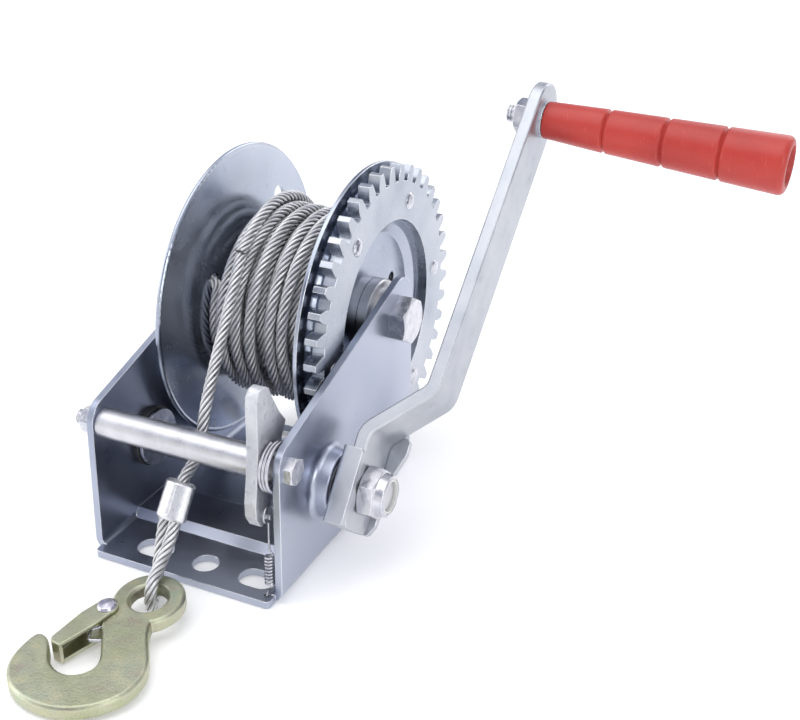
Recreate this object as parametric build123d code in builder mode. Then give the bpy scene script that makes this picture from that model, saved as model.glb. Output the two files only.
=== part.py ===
"""Hand winch for a boat trailer: channel frame, cable drum with ring gear, pinion crank,
ratchet pawl, wire rope and slip hook.

X runs along the drum axle towards the crank, -Y is the side the rope leaves from, +Z is up.
The origin is the middle of the base's underside. Millimetres.
"""

from build123d import *
from math import atan2, cos, hypot, pi, radians, sin, sqrt, tan
import os

os.makedirs("parts", exist_ok=True)

# ---- frame ----
frame_width = 88.0
frame_depth = 120.0
sheet = 3.0
bend_radius = 2.5
front = -frame_depth / 2
rear = frame_depth / 2
inner_x = frame_width / 2 - sheet
outer_x = frame_width / 2
side_front_height = 64.3
side_slope = 0.304
side_front_round = 9.0
side_rear_round = 12.0
side_foot_round = 8.0
lip_length = 5.2
rib_from = front + 21.0
rib_to = front + 50.0
rib_height = 3.0
hole_row_x = 5.0
hole_pitch = 24.0
hole_inset = 6.5
hole_diameter = 11.0
slot_length = 16.0

# ---- axes, as (y, z) ----
tube_y, tube_z = front + 6.6, 56.4
drum_y, drum_z = front + 105.5, 79.0

# ---- gears ----
module = 3.25
gear_teeth = 40
pinion_teeth = 10
pressure_angle = 20.0
profile_shift = 0.35
tooth_thinning = 0.12
centre_distance = module * (gear_teeth + pinion_teeth) / 2
mesh_angle = 212.8
pinion_y = drum_y + centre_distance * cos(radians(mesh_angle))
pinion_z = drum_z + centre_distance * sin(radians(mesh_angle))
gear_tip = module * (gear_teeth / 2 + 1 - profile_shift)
gear_back, gear_face = 33.5, 39.0
gear_opening = 43.0
pinion_tip = 20.3
pinion_from, pinion_to = 31.0, 40.6
rivet_circle = 51.5
rivet_count = 6
rivet_phase = 5.0

# ---- drum ----
flange_radius = 67.5
flange_sheet = 1.6
barrel_radius = 17.0
barrel_bore = 13.0
winding_radius = 43.4
winding_left, winding_right = -24.3, 27.6
axle_sleeve_radius = 8.5
running = 0.05

# ---- crank ----
crank_lean = 39.6
shaft_radius = 7.0
thread_radius = 6.0
seat_from = 53.4
seat_sheet = 3.0
arm_width = 25.4
arm_thickness = 5.5
arm_back = seat_from + seat_sheet
arm_face = arm_back + arm_thickness
arm_lower = -16.5
bend_1 = 20.9
bend_2 = (84.4, 42.0)
arm_slope = 0.068
end_offset = 3.0
grip_reach = 168.9
grip_length = 102.8
grip_small, grip_large = 8.2, 12.1

# ---- pawl and its spring ----
pawl_from, pawl_to = 30.7, 36.0
pawl_top_round = 3.6
pawl_edge_round = 1.6
spring_pin = (-5.0, -19.2)
spring_pin_radius = 1.2
spring_pin_length = 3.6
spring_x = pawl_to + 1.8
spring_y = tube_y + spring_pin[0]
spring_foot_y = front - 1.2
spring_wire = 0.9
spring_radius = 1.75
spring_loop = 3.5
spring_loop_rise = 1.2
coil_low, coil_high = 6.4, 19.6
spring_turns = 9

# ---- rope and hook ----
rope = 5.0
rope_gap = 0.4
ferrule_top = (-2.6, front + 4.0, 40.5)
ferrule_foot = (-3.5, front - 4.0, 27.2)
ferrule_width, ferrule_depth = 13.0, 8.4
strand_offset = 2.7
eye_centre = (4.0, front - 30.4, 8.1)
hook_tilt = 4.6
hook_sheet = 6.0
eye_outer, eye_inner = 13.8, 7.2
latch_rivet_at = (-10.6, -11.2)
latch_sheet = 1.2


def save(builder, name):
    """Label a finished sub-part and write it."""
    builder.part.label = name
    export_step(builder.part, f"parts/{name}.step")


def axis_x(y, z):
    return Axis((0, y, z), (1, 0, 0))


def side_plane(x):
    """Sketch plane across the axle: local x is Y, local y is Z."""
    return Plane.YZ.offset(x)


def radial_plane(y, z):
    """Sketch plane through an axle: local x is X, local y is the radius."""
    return Plane(origin=(0, y, z), x_dir=(1, 0, 0), z_dir=(0, -1, 0))


def turned(y, z, outline):
    """Revolve an (x, radius) outline about the axle at y, z, in the current part."""
    with BuildSketch(radial_plane(y, z)) as profile:
        with BuildLine():
            Polyline(*outline, close=True)
        make_face()
    revolve(profile.sketch, axis=axis_x(y, z))


def turned_on(plane, outline):
    """Revolve a (distance, radius) outline about the local x axis of a plane."""
    with BuildSketch(plane) as profile:
        with BuildLine():
            Polyline(*outline, close=True)
        make_face()
    revolve(profile.sketch, axis=Axis(plane.origin, plane.x_dir))


def hexagon(plane, across_flats, height, turn=0.0, bevel_both=False):
    """A hexagon prism with turned corners, as the first feature of the current part."""
    corner = across_flats / sqrt(3)
    drop = (corner - across_flats / 2 * 0.97) * 0.55
    with BuildSketch(plane) as flats:
        RegularPolygon(across_flats / 2, 6, major_radius=False, rotation=turn)
    extrude(flats.sketch, amount=height)
    spin = Plane(origin=plane.origin, x_dir=plane.z_dir, z_dir=plane.x_dir)
    low = drop if bevel_both else 0.0
    with BuildSketch(spin) as envelope:
        with BuildLine():
            Polyline(
                (0, 0),
                (0, across_flats / 2 * 0.97 if bevel_both else corner + 0.01),
                (max(low, 0.2), corner + 0.01),
                (height - drop, corner + 0.01),
                (height, across_flats / 2 * 0.97),
                (height, 0),
                close=True,
            )
        make_face()
    revolve(envelope.sketch, axis=Axis(plane.origin, plane.z_dir), mode=Mode.INTERSECT)


def thread_rings(plane, radius, start, length, pitch):
    """Cut the grooves of a thread as rings, along the local x axis of a plane."""
    turns = int(length / pitch)
    for turn in range(turns):
        at = start + (turn + 0.5) * pitch
        with BuildSketch(plane) as groove:
            with BuildLine():
                Polyline(
                    (at - pitch * 0.42, radius + 0.05),
                    (at, radius - pitch * 0.5),
                    (at + pitch * 0.42, radius + 0.05),
                    close=True,
                )
            make_face()
        revolve(groove.sketch, axis=Axis(plane.origin, plane.x_dir), mode=Mode.SUBTRACT)


# ---------------------------------------------------------------- frame
rear_top = side_front_height + side_slope * frame_depth
with BuildPart() as frame_channel:
    with BuildSketch(Plane.XZ.offset(rear)) as channel_section:
        with Locations((0, rear_top)):
            Rectangle(frame_width, 2 * rear_top)
        fillet(channel_section.vertices().group_by(Axis.Y)[0], bend_radius + sheet)
        with BuildSketch(mode=Mode.PRIVATE) as channel_inside:
            with Locations((0, rear_top + sheet)):
                Rectangle(2 * inner_x, 2 * rear_top)
            fillet(channel_inside.vertices().group_by(Axis.Y)[0], bend_radius)
        add(channel_inside.sketch, mode=Mode.SUBTRACT)
    extrude(amount=-frame_depth)
    with BuildSketch(side_plane(-outer_x - 1)) as side_outline:
        with BuildLine():
            Polyline((front, 0), (rear, 0), (rear, rear_top), (front, side_front_height), close=True)
        make_face()
        fillet(side_outline.vertices().sort_by(Axis.Y)[-1], side_rear_round)
        fillet(side_outline.vertices().group_by(Axis.X)[0].sort_by(Axis.Y)[-1], side_front_round)
    extrude(amount=frame_width + 2, mode=Mode.INTERSECT)
    # rounded lower rear corner of each side
    for side in (-1, 1):
        with BuildSketch(side_plane(side * (inner_x - bend_radius))):
            with Locations((rear, 0)):
                Rectangle(2 * side_foot_round, 2 * side_foot_round)
            with Locations((rear - side_foot_round, side_foot_round)):
                Circle(side_foot_round, mode=Mode.SUBTRACT)
            with Locations((rear + side_foot_round, 0)):
                Rectangle(2 * side_foot_round, 4 * side_foot_round, mode=Mode.SUBTRACT)
        extrude(amount=side * (sheet + bend_radius + 1), mode=Mode.SUBTRACT)
    # pressed rib across the base
    with Locations((0, (rib_from + rib_to) / 2, sheet / 2)):
        Box(2 * (inner_x - bend_radius), rib_to - rib_from, sheet + 0.2, mode=Mode.SUBTRACT)
    with BuildSketch(side_plane(-inner_x - 0.5)):
        with BuildLine():
            Polyline(
                (rib_from - 0.5, 0),
                (rib_from, 0),
                (rib_from + rib_height, rib_height),
                (rib_to - rib_height, rib_height),
                (rib_to, 0),
                (rib_to + 0.5, 0),
                (rib_to + 0.5, sheet),
                (rib_to + 0.3 - 1.0, sheet),
                (rib_to - rib_height - 1.2, rib_height + sheet),
                (rib_from + rib_height + 1.2, rib_height + sheet),
                (rib_from + 0.7, sheet),
                (rib_from - 0.5, sheet),
                close=True,
            )
        make_face()
    extrude(amount=2 * inner_x + 1)
    # lip in front of the sides
    with BuildSketch(Plane.XY) as lip:
        with Locations((0, front - lip_length / 2 + 1)):
            Rectangle(2 * (inner_x - 0.2), lip_length + 2)
        fillet(lip.vertices().group_by(Axis.Y)[0], 2.0)
    extrude(amount=sheet)
    # two rows of bolt holes
    for row_y in (front + hole_inset, rear - hole_inset):
        with BuildSketch(Plane.XY):
            with Locations((hole_row_x, row_y)):
                Circle(hole_diameter / 2)
            with Locations((hole_row_x - hole_pitch, row_y), (hole_row_x + hole_pitch, row_y)):
                SlotOverall(slot_length, hole_diameter)
        extrude(amount=sheet, mode=Mode.SUBTRACT)
    # hole in the lip that the pawl's spring hooks into
    with BuildSketch(Plane.XY):
        with Locations((spring_x, spring_foot_y)):
            Circle(1.2)
    extrude(amount=sheet, mode=Mode.SUBTRACT)
    # holes for the tie bolt, the axle bolt and the left shaft bush
    with BuildSketch(side_plane(-outer_x - 1)):
        with Locations((tube_y, tube_z)):
            Circle(3.2)
        with Locations((drum_y, drum_z)):
            Circle(thread_radius + 0.1)
    extrude(amount=frame_width + 2, mode=Mode.SUBTRACT)
    with BuildSketch(side_plane(-outer_x - 1)):
        with Locations((pinion_y, pinion_z)):
            Circle(9.0)
    extrude(amount=sheet + 2, mode=Mode.SUBTRACT)
    # drawn collar round the crank shaft
    with BuildSketch(side_plane(inner_x - 1)):
        with Locations((pinion_y, pinion_z)):
            Circle(17.5)
    extrude(amount=sheet + 2, mode=Mode.SUBTRACT)
    with BuildSketch(radial_plane(pinion_y, pinion_z)) as collar:
        with BuildLine():
            Polyline(
                (inner_x, 18.0),
                (inner_x, 14.2),
                (inner_x + 3.2, 10.9),
                (outer_x + 7.2, 10.9),
                (outer_x + 7.2, 13.4),
                (outer_x, 14.2),
                (outer_x, 18.0),
                close=True,
            )
        make_face()
        fillet(collar.vertices().sort_by_distance((outer_x, 14.2))[0], 2.6)
        fillet(collar.vertices().sort_by_distance((outer_x + 7.2, 13.4))[0], 1.0)
    revolve(axis=axis_x(pinion_y, pinion_z))
save(frame_channel, "frame_channel")

# ---------------------------------------------------------------- tie tube across the front
with BuildPart() as tie_tube:
    turned(tube_y, tube_z, [(-inner_x, 3.3), (-inner_x, 5.7), (-inner_x + 0.4, 6.0),
                            (inner_x - 0.4, 6.0), (inner_x, 5.7), (inner_x, 3.3)])
save(tie_tube, "tie_tube")

with BuildPart() as tie_bolt:
    hexagon(side_plane(outer_x).shift_origin((outer_x, tube_y, tube_z)), 10.0, 4.2, turn=30)
    with BuildSketch(side_plane(-52.2)):
        with Locations((tube_y, tube_z)):
            Circle(3.0)
    extrude(amount=52.2 + outer_x + 1)
    thread_rings(radial_plane(tube_y, tube_z), 3.0, -52.2, 3.4, 1.0)
save(tie_bolt, "tie_bolt")

with BuildPart() as tie_nut:
    hexagon(Plane(origin=(-outer_x, tube_y, tube_z), x_dir=(0, 1, 0), z_dir=(-1, 0, 0)), 10.0, 5.0,
            turn=12, bevel_both=True)
    turned_nut = [(-outer_x - 6, 0), (-outer_x - 6, 3.03), (-outer_x + 1, 3.03), (-outer_x + 1, 0)]
    with BuildSketch(radial_plane(tube_y, tube_z)):
        with BuildLine():
            Polyline(*turned_nut, close=True)
        make_face()
    revolve(axis=axis_x(tube_y, tube_z), mode=Mode.SUBTRACT)
save(tie_nut, "tie_nut")

# ---------------------------------------------------------------- drum axle
with BuildPart() as axle_sleeve:
    turned(drum_y, drum_z, [(-inner_x, 6.05), (-inner_x, axle_sleeve_radius),
                            (inner_x, axle_sleeve_radius), (inner_x, 6.05)])
save(axle_sleeve, "axle_sleeve")

with BuildPart() as axle_bolt:
    hexagon(side_plane(outer_x).shift_origin((outer_x, drum_y, drum_z)), 19.0, 7.5, turn=30)
    with BuildSketch(side_plane(-57.0)):
        with Locations((drum_y, drum_z)):
            Circle(thread_radius)
    extrude(amount=57.0 + outer_x + 1)
    thread_rings(radial_plane(drum_y, drum_z), thread_radius, -57.0, 2.0, 1.75)
save(axle_bolt, "axle_bolt")


def lock_nut(plane, across_flats, height, collar_height, bore):
    """A hexagon nut with a round collar that holds its locking ring."""
    hexagon(plane, across_flats, height, bevel_both=True)
    spin = Plane(origin=plane.origin, x_dir=plane.z_dir, z_dir=plane.x_dir)
    collar_radius = across_flats * 0.455
    turned_on(spin, [(height - 1.0, bore + 1.0), (height - 1.0, collar_radius + 0.3),
                     (height + collar_height * 0.35, collar_radius),
                     (height + collar_height * 0.85, collar_radius - 0.4),
                     (height + collar_height, collar_radius - 1.2),
                     (height + collar_height, bore + 1.0)])
    with BuildSketch(plane.offset(-0.5)) as opening:
        Circle(bore)
    extrude(opening.sketch, amount=height + collar_height + 1, mode=Mode.SUBTRACT)


with BuildPart() as axle_nut:
    lock_nut(Plane(origin=(-outer_x, drum_y, drum_z), x_dir=(0, 1, 0), z_dir=(-1, 0, 0)),
             19.0, 8.0, 4.0, thread_radius + 0.03)
save(axle_nut, "axle_nut")

# ---------------------------------------------------------------- drum


def flange_face(sheet_thickness, inner_points):
    """Face of a spun sheet flange from the curve of its rope side."""
    shift = sheet_thickness if inner_points[0][0] > 0 else -sheet_thickness
    outer_points = [(x + shift, r) for x, r in inner_points]
    with BuildLine() as outline:
        Spline(*inner_points)
        Line(inner_points[-1], outer_points[-1])
        Spline(*outer_points[::-1])
        Line(outer_points[0], inner_points[0])
    make_face(outline.edges())


def around_drum(radius, angle):
    """Sketch location at a radius and angle about the drum axle."""
    return (drum_y + radius * cos(radians(angle)), drum_z + radius * sin(radians(angle)))


left_curve = [(-28.4, barrel_bore), (-28.6, 24.0), (-29.6, 36.0), (-31.6, 48.0), (-33.7, 58.5),
              (-34.6, flange_radius - 0.8)]
with BuildPart() as left_flange:
    with BuildSketch(radial_plane(drum_y, drum_z)):
        flange_face(flange_sheet, left_curve)
    revolve(axis=axis_x(drum_y, drum_z))
    with BuildSketch(radial_plane(drum_y, drum_z)):
        with Locations((-35.4, flange_radius - 1.15)):
            Circle(1.15)
    revolve(axis=axis_x(drum_y, drum_z))
    with BuildSketch(side_plane(-40.0)):
        with Locations(around_drum(46.0, 50.7)):
            Circle(5.6)
        with Locations(around_drum(34.9, 153.3)):
            Circle(3.4)
        with Locations(around_drum(26.0, 153.3)):
            Circle(2.6)
    extrude(amount=15.0, mode=Mode.SUBTRACT)
save(left_flange, "left_flange")

with BuildPart() as right_flange:
    with BuildSketch(radial_plane(drum_y, drum_z)) as right_section:
        with BuildLine():
            Polyline(
                (29.4, barrel_bore), (29.4, 36.5), (gear_back - flange_sheet, 41.0),
                (gear_back - flange_sheet, 57.0), (28.9, 60.0), (28.9, flange_radius),
                (28.9 + flange_sheet, flange_radius), (28.9 + flange_sheet, 60.4),
                (gear_back, 57.6), (gear_back, 40.4), (29.4 + flange_sheet, 36.0),
                (29.4 + flange_sheet, barrel_bore), close=True,
            )
        make_face()
        fillet(right_section.vertices().filter_by(lambda v: 35 < v.Y < 62), 1.2)
    revolve(axis=axis_x(drum_y, drum_z))
    with BuildSketch(side_plane(25.0)):
        with Locations(around_drum(22.3, 24.0)):
            Circle(3.0)
        with Locations(*[around_drum(rivet_circle, rivet_phase + 60 * i) for i in range(rivet_count)]):
            Circle(3.0)
    extrude(amount=15.0, mode=Mode.SUBTRACT)
save(right_flange, "right_flange")

with BuildPart() as drum_barrel:
    turned(drum_y, drum_z, [(-28.3, barrel_bore), (-28.3, barrel_radius), (29.3, barrel_radius),
                            (29.3, barrel_bore)])
save(drum_barrel, "drum_barrel")

for side, name in ((-1, "drum_hub_left"), (1, "drum_hub_right")):
    with BuildPart() as drum_hub:
        bore = axle_sleeve_radius + running
        turned(drum_y, drum_z, [(side * 18.0, bore), (side * 18.0, barrel_bore),
                                (side * (31.1 if side > 0 else 30.1), barrel_bore),
                                (side * (31.1 if side > 0 else 30.1), 16.0), (side * 35.6, 16.0),
                                (side * 36.2, 15.4), (side * 36.2, 12.4), (side * 40.2, 12.4),
                                (side * 40.7, 11.9), (side * 40.7, bore)])
    save(drum_hub, name)


def involute_angle(radius, base):
    """Polar angle swept by an involute from its base circle out to a radius."""
    roll = sqrt(max((radius / base) ** 2 - 1, 0.0))
    return roll - atan2(roll, 1.0)


def gear_teeth_outline(teeth, shift, tip, root, phase, centre):
    """Closed outline of an involute gear, centred at centre, one tooth centred on phase."""
    pitch = module * teeth / 2
    base = pitch * cos(radians(pressure_angle))
    thickness = module * (pi / 2 + 2 * shift * tan(radians(pressure_angle))) - tooth_thinning
    half = thickness / (2 * pitch) + involute_angle(pitch, base)
    start = max(base, root)
    steps = 6
    radii = [start + (tip - start) * i / steps for i in range(steps + 1)]

    def at(radius, angle):
        return (centre[0] + radius * cos(angle), centre[1] + radius * sin(angle))

    tooth_pitch = 2 * pi / teeth
    with BuildLine() as outline:
        for tooth in range(teeth):
            middle = radians(phase) + tooth * tooth_pitch
            rising = [at(r, middle - half + involute_angle(r, base)) for r in radii]
            falling = [at(r, middle + half - involute_angle(r, base)) for r in radii][::-1]
            root_in = at(root, middle - half)
            root_out = at(root, middle + half)
            if root < start - 0.01:
                Line(root_in, rising[0])
                Line(falling[-1], root_out)
            Spline(*rising)
            ThreePointArc(rising[-1], at(tip, middle), falling[0])
            Spline(*falling)
            next_in = at(root, middle + tooth_pitch - half)
            last = root_out if root < start - 0.01 else falling[-1]
            first = next_in if root < start - 0.01 else at(start, middle + tooth_pitch - half)
            ThreePointArc(last, at(min(root, start), middle + tooth_pitch / 2), first)
    make_face(outline.edges())


with BuildPart() as drum_gear:
    gear_root = module * (gear_teeth / 2 - 1.25 - profile_shift)
    with BuildSketch(side_plane(gear_back)):
        gear_teeth_outline(gear_teeth, -profile_shift, gear_tip, gear_root, mesh_angle, (drum_y, drum_z))
        with Locations((drum_y, drum_z)):
            Circle(gear_opening, mode=Mode.SUBTRACT)
        with Locations(*[around_drum(rivet_circle, rivet_phase + 60 * i) for i in range(rivet_count)]):
            Circle(3.0, mode=Mode.SUBTRACT)
    extrude(amount=gear_face - gear_back)
save(drum_gear, "drum_gear")

with BuildPart() as gear_rivets:
    for i in range(rivet_count):
        rivet_y, rivet_z = around_drum(rivet_circle, rivet_phase + 60 * i)
        back = gear_back - flange_sheet
        turned(rivet_y, rivet_z, [
            (gear_face + 1.5, 0), (gear_face + 1.3, 1.6), (gear_face + 0.8, 3.1), (gear_face, 4.0),
            (gear_face, 3.0), (back, 3.0), (back, 4.0), (back - 0.7, 2.8), (back - 1.1, 0)])
save(gear_rivets, "gear_rivets")

# rope clamp outside the left flange: a plate, a screw and its nut
clamp_y, clamp_z = around_drum(26.0, 153.3)
clamp_face = -30.6
with BuildPart() as rope_clamp:
    with BuildSketch(side_plane(clamp_face - 5.2)) as clamp_plate:
        with Locations(around_drum(30.6, 153.3)):
            Rectangle(20.0, 11.0, rotation=153.3)
        fillet(clamp_plate.vertices(), 2.5)
    extrude(amount=-1.6)
    with BuildSketch(side_plane(clamp_face - 8)):
        with Locations(around_drum(26.0, 153.3)):
            Circle(2.7)
    extrude(amount=8, mode=Mode.SUBTRACT)
save(rope_clamp, "rope_clamp")

with BuildPart() as clamp_screw:
    hexagon(Plane(origin=(clamp_face - 6.8, clamp_y, clamp_z), x_dir=(0, 1, 0), z_dir=(-1, 0, 0)),
            8.0, 3.0)
    with BuildSketch(side_plane(clamp_face - 7.2)):
        with Locations((clamp_y, clamp_z)):
            Circle(2.45)
    extrude(amount=10.2)
save(clamp_screw, "clamp_screw")

# ---------------------------------------------------------------- rope on the drum
with BuildPart() as rope_winding:
    turned(drum_y, drum_z, [(winding_left, barrel_radius + 0.05), (winding_left, winding_radius - 1.5),
                            (winding_left + 1.5, winding_radius), (winding_right - 1.5, winding_radius),
                            (winding_right, winding_radius - 1.5),
                            (winding_right, barrel_radius + 0.05)])
save(rope_winding, "rope_winding")


def drum_point(x, radius, angle):
    y, z = around_drum(radius, angle)
    return (x, y, z)


def route_arcs(name, points, wanted=None):
    """Radius of the tangent arc at each inner corner of a rope route."""
    radii = []
    for i in range(1, len(points) - 1):
        before = Vector(*points[i]) - Vector(*points[i - 1])
        after = Vector(*points[i + 1]) - Vector(*points[i])
        turn = radians(before.get_angle(after))
        largest = 0.45 * min(before.length, after.length) / tan(turn / 2)
        radii.append(min(largest, wanted) if wanted else largest)
    print(name, "arc radii", [round(r, 1) for r in radii])
    return radii


def tube_along(name, points, radii):
    """A round rope of the full diameter along straight runs joined by arcs."""
    with BuildLine() as path:
        FilletPolyline(*points, radius=radii)
    with BuildSketch(Plane(origin=path.wire() @ 0, z_dir=path.wire() % 0)) as section:
        Circle(rope / 2)
    sweep(section.sketch, path=path.wire())
    length = path.wire().length
    print(name, "length", round(length, 1), "section x length", round(pi * rope**2 / 4 * length, 1))


rope_end_points = [
    drum_point(-35.8, 34.9, 153.3),
    drum_point(-27.0, 34.9, 153.3),
    drum_point(-26.9, 36.5, 166.0),
    drum_point(-26.9, 37.2, 184.0),
    drum_point(-26.9, 37.4, 202.0),
    drum_point(-26.9, 37.4, 220.0),
    drum_point(-26.9, 37.4, 238.0),
]
with BuildPart() as rope_end:
    tube_along("rope_end", rope_end_points, route_arcs("rope_end", rope_end_points))
print("rope_end volume", round(rope_end.part.volume, 1))
save(rope_end, "rope_end")

# ---------------------------------------------------------------- pinion and crank shaft
with BuildPart() as pinion:
    pinion_root = module * (pinion_teeth / 2 - 1.25 + profile_shift)
    with BuildSketch(side_plane(pinion_from)):
        gear_teeth_outline(pinion_teeth, profile_shift, pinion_tip, pinion_root,
                           mesh_angle - 180 + 180 / pinion_teeth, (pinion_y, pinion_z))
        with Locations((pinion_y, pinion_z)):
            Circle(8.02, mode=Mode.SUBTRACT)
    extrude(amount=pinion_to - pinion_from)
save(pinion, "pinion")

with BuildPart() as crank_shaft:
    turned(pinion_y, pinion_z, [
        (-49.0, 0), (-49.0, 5.4), (-48.4, 6.0), (-46.4, 6.0), (-46.4, 5.0), (-45.2, 5.0), (-45.2, 6.0),
        (-38.0, 6.0), (-38.0, shaft_radius), (pinion_from, shaft_radius), (pinion_from, 8.0),
        (pinion_to, 8.0), (pinion_to, shaft_radius), (seat_from, shaft_radius),
        (seat_from, thread_radius), (70.8, thread_radius), (71.5, 5.3), (71.5, 0)])
    thread_rings(radial_plane(pinion_y, pinion_z), thread_radius, arm_face + 0.6, 8.6, 1.75)
save(crank_shaft, "crank_shaft")

with BuildPart() as left_bush:
    turned(pinion_y, pinion_z, [(-outer_x - 0.6, thread_radius + running), (-outer_x - 0.6, 8.95),
                                (-inner_x, 8.95), (-inner_x, 12.8), (-38.8, 12.8),
                                (-38.4, 12.4), (-38.4, thread_radius + running)])
save(left_bush, "left_bush")

with BuildPart() as shaft_washer:
    turned(pinion_y, pinion_z, [(-37.9, shaft_radius + 0.05), (-37.9, 12.2), (-36.5, 12.2),
                                (-36.5, shaft_radius + 0.05)])
save(shaft_washer, "shaft_washer")

with BuildPart() as right_bush:
    turned(pinion_y, pinion_z, [(inner_x + 0.2, shaft_radius + running), (inner_x + 0.2, 10.85),
                                (outer_x + 5.9, 10.85), (outer_x + 6.4, 10.3),
                                (outer_x + 6.4, shaft_radius + running)])
save(right_bush, "right_bush")

with BuildPart() as shaft_clip:
    with BuildSketch(side_plane(-46.3)):
        with Locations((pinion_y, pinion_z)):
            Circle(9.6)
            Circle(5.02, mode=Mode.SUBTRACT)
        with Locations((pinion_y - 8, pinion_z)):
            Rectangle(10, 6.5, mode=Mode.SUBTRACT)
        with Locations((pinion_y + 5.6, pinion_z + 5.6), (pinion_y + 5.6, pinion_z - 5.6)):
            Circle(1.6, mode=Mode.SUBTRACT)
    extrude(amount=1.0)
save(shaft_clip, "shaft_clip")

# ---------------------------------------------------------------- crank
lean = radians(crank_lean)
along = Vector(0, sin(lean), cos(lean))
across = Vector(0, cos(lean), -sin(lean))


def crank_face(x):
    """Sketch plane of the crank: local x across the arm, local y along it, normal +X."""
    return Plane(origin=(x, pinion_y, pinion_z), x_dir=across, z_dir=(1, 0, 0))


crank_edge = Plane(origin=(0, pinion_y, pinion_z), x_dir=(1, 0, 0), z_dir=-across)
half_arm = arm_width / 2
with BuildPart() as crank_seat:
    wall = half_arm + 0.15
    with BuildSketch(crank_face(seat_from)):
        with Locations((0, (arm_lower + 14.0) / 2)):
            Rectangle(2 * (wall + seat_sheet), 14.0 - arm_lower)
        with Locations((wall - 4.0, 19.0)):
            Rectangle(2 * (seat_sheet + 4.0), 14.0)
    extrude(amount=seat_sheet)
    with BuildSketch(crank_edge.offset(wall)) as front_wall:
        with Locations(((seat_from + arm_face + 0.3) / 2, (arm_lower + 14.0) / 2)):
            Rectangle(arm_face + 0.3 - seat_from, 14.0 - arm_lower)
        fillet(front_wall.vertices().group_by(Axis.X)[-1], 1.5)
    extrude(amount=seat_sheet)
    with BuildSketch(crank_edge.offset(-wall)) as rear_wall:
        with BuildLine():
            Polyline((seat_from, arm_lower), (62.4, arm_lower), (64.6, -12.0), (65.6, 8.0),
                     (69.4, 19.0), (69.4, 25.6), (seat_from, 25.6), close=True)
        make_face()
        fillet(rear_wall.vertices().filter_by(lambda v: v.X > 62), 2.2)
    extrude(amount=-seat_sheet)
    fillet(crank_seat.edges().filter_by(lambda e: abs(e.center().X - seat_from) < 0.01
           and abs((e % 0.5).dot(along)) > 0.99 and e.length > 20), 2.2)
    with BuildSketch(crank_face(seat_from - 1)):
        Circle(thread_radius + 0.05)
    extrude(amount=seat_sheet + 2, mode=Mode.SUBTRACT)
save(crank_seat, "crank_seat")

upper_turn = atan2(arm_slope, 1.0)
grip_foot = Vector(bend_2[0] + arm_slope * (grip_reach - bend_2[1]), 0, 0) + along * grip_reach
grip_foot = grip_foot + Vector(0, pinion_y, pinion_z)
grip_dir = Vector(cos(upper_turn), 0, 0) - along * sin(upper_turn)
grip_plane = Plane(origin=grip_foot, x_dir=grip_dir, z_dir=grip_dir.cross(across))
grip_end_plane = Plane(origin=grip_foot, x_dir=across, z_dir=grip_dir)



def offset_corner(before, corner, after, distance):
    """Corner of the path that runs a distance to the left of before-corner-after."""
    first = (Vector(*corner) - Vector(*before)).normalized()
    second = (Vector(*after) - Vector(*corner)).normalized()
    bisector = Vector(-first.Y - second.Y, first.X + second.X).normalized()
    reach = distance / bisector.dot(Vector(-first.Y, first.X))
    return (corner[0] + bisector.X * reach, corner[1] + bisector.Y * reach)


with BuildPart() as crank_arm:
    top_u = grip_reach + end_offset + half_arm + 2
    face_path = [(arm_face, arm_lower), (arm_face, bend_1), bend_2,
                 (bend_2[0] + arm_slope * (top_u - bend_2[1]), top_u)]
    half_thick = arm_thickness / 2
    middle_1 = offset_corner(face_path[0], face_path[1], face_path[2], half_thick)
    middle_2 = offset_corner(face_path[1], face_path[2], face_path[3], half_thick)
    middle_3 = (face_path[3][0] - half_thick * cos(upper_turn),
                face_path[3][1] + half_thick * sin(upper_turn))
    with BuildSketch(crank_edge):
        with BuildLine() as arm_line:
            FilletPolyline((middle_1[0], arm_lower), middle_1, middle_2, middle_3, radius=8.0)
        trace(arm_line.line, arm_thickness)
    extrude(amount=half_arm, both=True)
    # rounded top end
    with BuildSketch(grip_end_plane):
        with Locations((0, end_offset + 15)):
            Rectangle(arm_width + 4, 30)
        with Locations((0, end_offset)):
            Circle(half_arm, mode=Mode.SUBTRACT)
    extrude(amount=20, both=True, mode=Mode.SUBTRACT)
    # clipped lower corners
    for edge_side in (-1, 1):
        with BuildSketch(crank_face(arm_back - 1)):
            with BuildLine():
                Polyline((edge_side * half_arm, arm_lower), (edge_side * (half_arm - 3), arm_lower),
                         (edge_side * half_arm, arm_lower + 3), close=True)
            make_face()
        extrude(amount=arm_thickness + 2, mode=Mode.SUBTRACT)
    with BuildSketch(crank_face(arm_back - 1)):
        Circle(thread_radius + 0.05)
    extrude(amount=arm_thickness + 2, mode=Mode.SUBTRACT)
    with BuildSketch(grip_end_plane):
        Circle(4.05)
    extrude(amount=20, both=True, mode=Mode.SUBTRACT)
    chamfer(crank_arm.edges().filter_by(lambda e: e.length > 30), 0.6)
save(crank_arm, "crank_arm")

with BuildPart() as crank_nut:
    lock_nut(crank_face(arm_face), 19.0, 7.0, 4.0, thread_radius + 0.03)
save(crank_nut, "crank_nut")

with BuildPart() as nut_insert:
    ring_in, ring_out = arm_face + 7.4, arm_face + 10.7
    turned(pinion_y, pinion_z, [(ring_in, 6.06), (ring_in, 6.95), (ring_out, 6.95), (ring_out, 6.06)])
save(nut_insert, "nut_insert")

# hand grip that turns on its own bolt
with BuildPart() as grip_washer:
    turned_on(grip_plane, [(0.0, 4.3), (0.0, 8.0), (1.2, 8.0), (1.2, 4.3)])
save(grip_washer, "grip_washer")

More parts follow.
